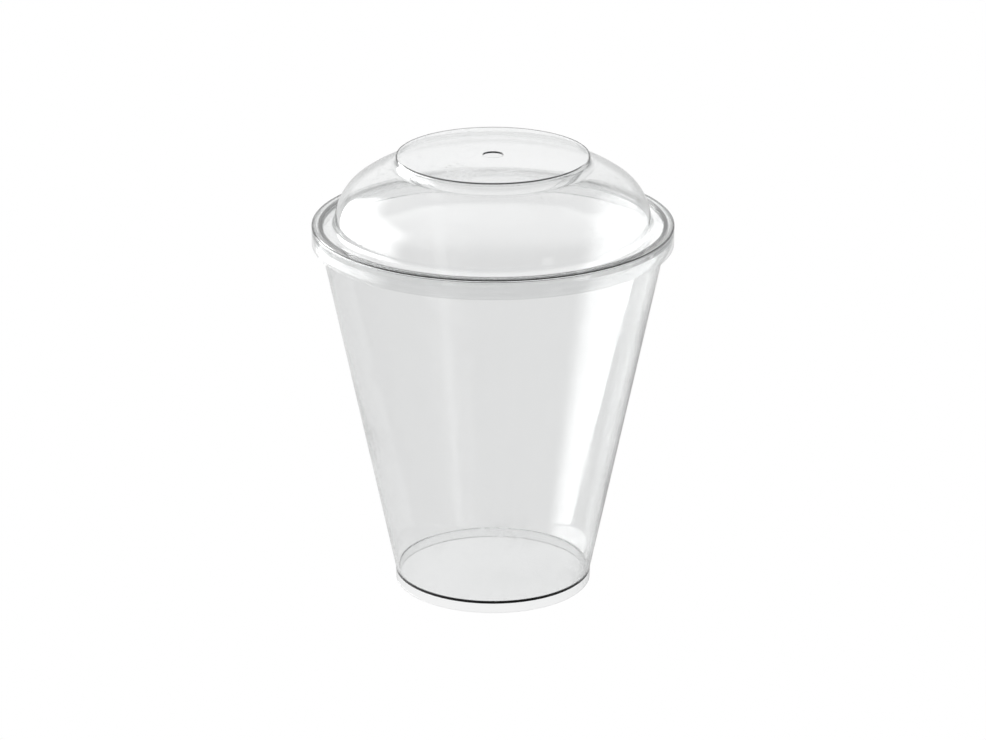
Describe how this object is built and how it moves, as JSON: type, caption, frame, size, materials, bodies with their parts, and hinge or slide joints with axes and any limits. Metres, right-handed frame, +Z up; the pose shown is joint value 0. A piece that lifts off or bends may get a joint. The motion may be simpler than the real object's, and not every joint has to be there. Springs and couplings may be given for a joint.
{
  "type": "plastic cup with lid",
  "caption": "Clear plastic drinking cup with a straight tapered wall, and a dome lid that lifts off and has a small round hole in its flat top.",
  "frame": {"origin": "centre of the cup's foot, on the surface that it stands on", "axes": "+Z up the cup's axis towards the lid; the part is round, so +X and +Y are any two square directions"},
  "size_m": [0.098, 0.098, 0.1225],
  "materials": {
    "cup_plastic": "clear colourless moulded polystyrene, glossy inside and out",
    "lid_plastic": "clear colourless moulded polystyrene, glossy inside and out"
  },
  "bodies": {
    "cup": {"cup": "cup_plastic"},
    "lid": {"lid": "lid_plastic"}
  },
  "joints": [
    {"name": "lid_lift", "type": "slide", "parent": "cup", "child": "lid", "axis": [0, 0, 1], "range_m": [0, 0.06]}
  ]
}
